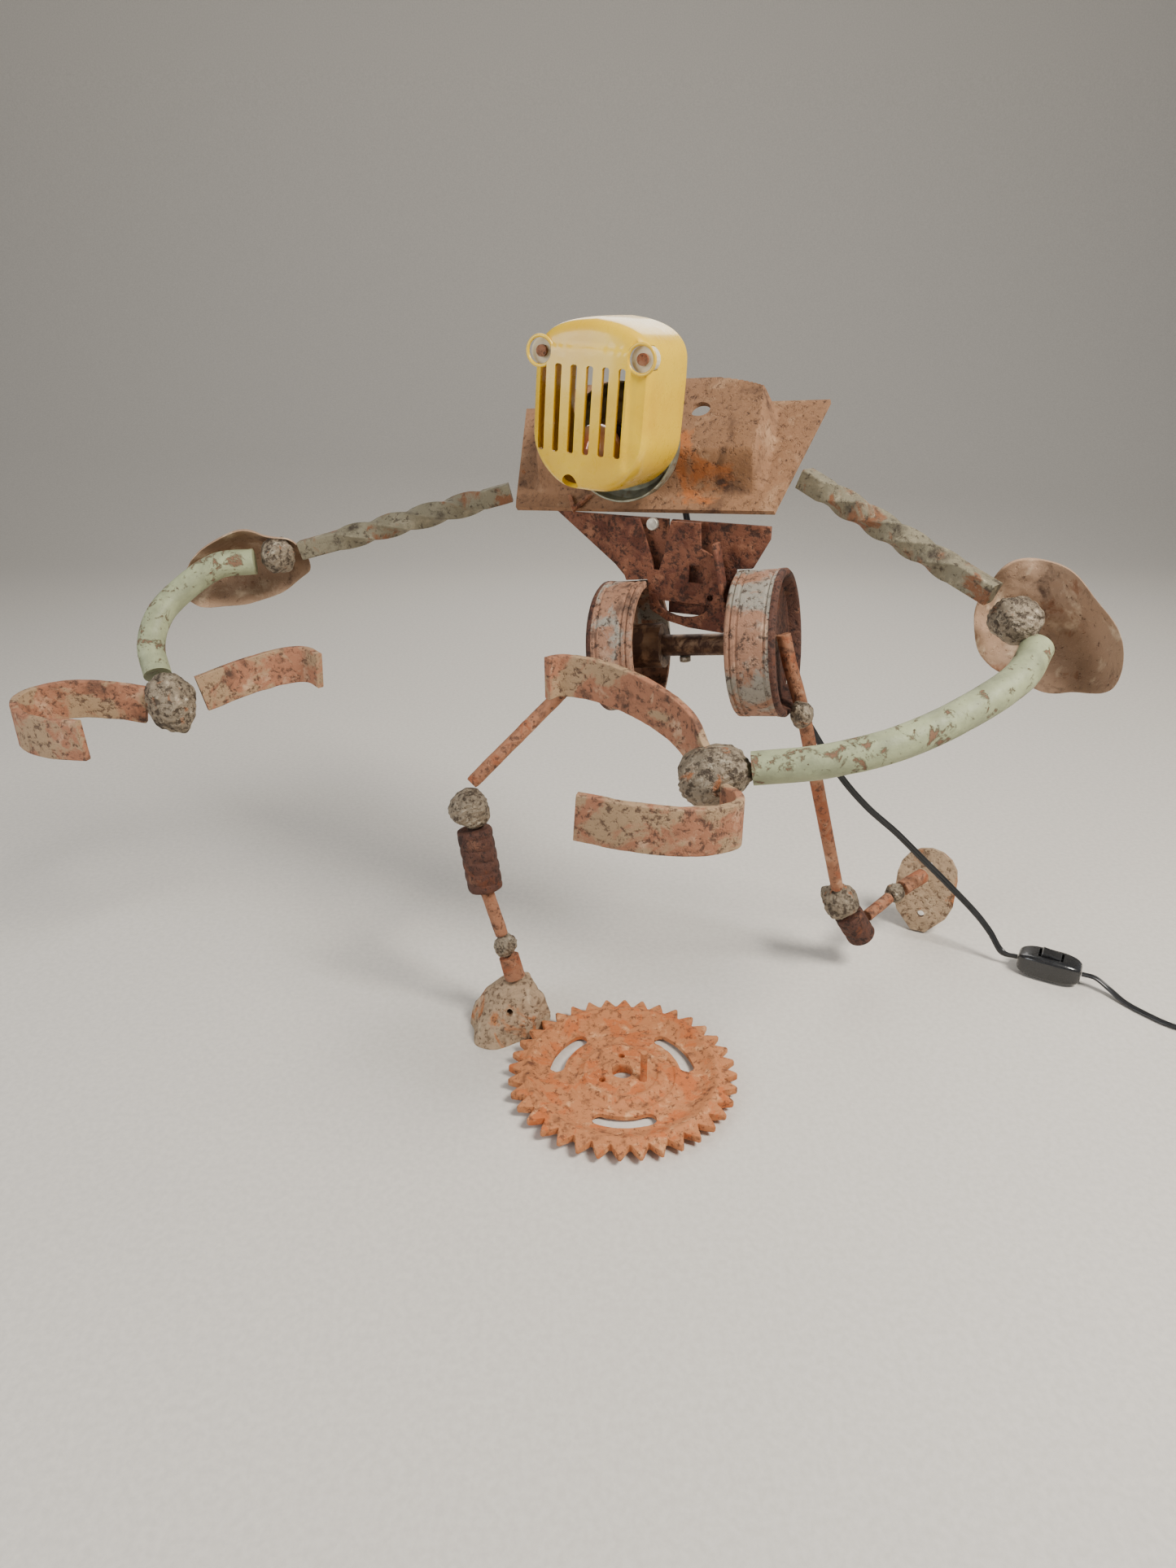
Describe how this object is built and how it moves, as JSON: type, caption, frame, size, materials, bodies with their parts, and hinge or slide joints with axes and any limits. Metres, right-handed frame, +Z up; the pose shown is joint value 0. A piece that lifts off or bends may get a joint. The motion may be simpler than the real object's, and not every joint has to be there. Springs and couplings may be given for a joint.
{
  "type": "scrap metal robot lamp",
  "caption": "Striding robot figure welded from scrap steel, with a slotted yellow cover over a bulb for its head, claw hands, a toothed wheel under one foot and a mains cord.",
  "frame": {"origin": "on the surface it stands on, under the middle of the box of the robot without its cord", "axes": "+Z up, +X to the robot's left, the robot walks towards -Y and looks a little to -X"},
  "size_m": [0.8789, 0.3591, 0.4719],
  "materials": {
    "plate_rust": "pitted tan rust on heavy plate",
    "chest_rust": "dark red-brown rust with speckles",
    "rod_rust": "orange rust on round bar",
    "strap_rust": "orange and tan rust on flat strap",
    "sprocket_rust": "vivid orange rust with dark pits",
    "sleeve_rust": "dark brown scale",
    "casting_rust": "rough grey-brown casting skin",
    "weld_slag": "crusty grey weld metal and slag",
    "bar_patina": "grey-green patina on twisted square bar",
    "shell_rust": "tan-pink rust over forged sheet",
    "sage_paint": "pitted sage green paint",
    "drum_rust": "salmon rust with silver wear",
    "axle_steel": "oiled brown steel",
    "galvanised": "dull galvanised sheet",
    "bright_zinc": "bright zinc plate",
    "head_yellow": "glossy yellow moulding",
    "clip_ivory": "ivory moulding",
    "lamp_glass": "coated lamp glass",
    "holder_black": "black bakelite",
    "cord_black": "black flexible cord jacket",
    "switch_black": "black moulding"
  },
  "bodies": {
    "frame": {"sprocket_foot": "sprocket_rust", "boot_casting": "casting_rust", "front_ankle_rod": "rod_rust", "front_shin_weld": "weld_slag", "front_shin_rod": "rod_rust", "front_knee_sleeve": "sleeve_rust", "front_knee_weld": "weld_slag", "front_thigh_rod": "rod_rust", "front_hip_weld": "weld_slag", "rear_thigh_rod": "rod_rust", "rear_hip_weld": "weld_slag", "rear_knee_weld": "weld_slag", "rear_knee_sleeve": "sleeve_rust", "rear_shin_rod": "rod_rust", "rear_shin_weld": "weld_slag", "rear_ankle_rod": "rod_rust", "rear_foot_plate": "casting_rust", "right_drum": "drum_rust", "left_drum": "drum_rust", "right_hub": "axle_steel", "hip_axle_tube": "axle_steel", "axle_set_screw": "bright_zinc", "shoulder_plate": "plate_rust", "chest_bracket": "chest_rust", "chest_flange": "chest_rust", "right_chest_plate": "chest_rust", "left_chest_plate": "chest_rust", "chest_bolt": "bright_zinc", "chin_lug": "rod_rust", "neck_pipe": "bright_zinc", "right_upper_arm": "bar_patina", "left_upper_arm": "bar_patina", "right_elbow_weld": "weld_slag", "left_elbow_weld": "weld_slag", "right_forearm_tube": "sage_paint", "left_forearm_tube": "sage_paint", "right_elbow_shell": "shell_rust", "left_elbow_shell": "shell_rust", "right_claw_weld": "weld_slag", "left_claw_weld": "weld_slag", "right_claw_hook": "strap_rust", "right_claw_jaw": "strap_rust", "left_claw_hook": "strap_rust", "left_claw_jaw": "strap_rust", "cord_upper": "cord_black", "cord_lower": "cord_black", "cord_coil": "cord_black", "switch_case": "switch_black", "plug": "switch_black"},
    "lamp_head": {"head_cover": "head_yellow", "left_head_clip": "clip_ivory", "right_head_clip": "clip_ivory", "left_head_screw": "rod_rust", "right_head_screw": "rod_rust", "lamp_cup": "galvanised", "lamp_holder": "holder_black", "neck_nut": "bright_zinc", "bulb_base": "bright_zinc", "bulb_glass": "lamp_glass"},
    "rocker": {"switch_rocker": "switch_black"}
  },
  "joints": [
    {"name": "head_swivel", "type": "hinge", "parent": "frame", "child": "lamp_head", "pos_m": [0.04972, 0.05483, 0.4002], "axis": [0.4067, 0.9135, 0], "range_deg": [-25, 25]},
    {"name": "switch_press", "type": "hinge", "parent": "frame", "child": "rocker", "pos_m": [0.3893, 0.0468, 0.0188], "axis": [0.5, 0.866, 0], "range_deg": [-16, 0]}
  ]
}
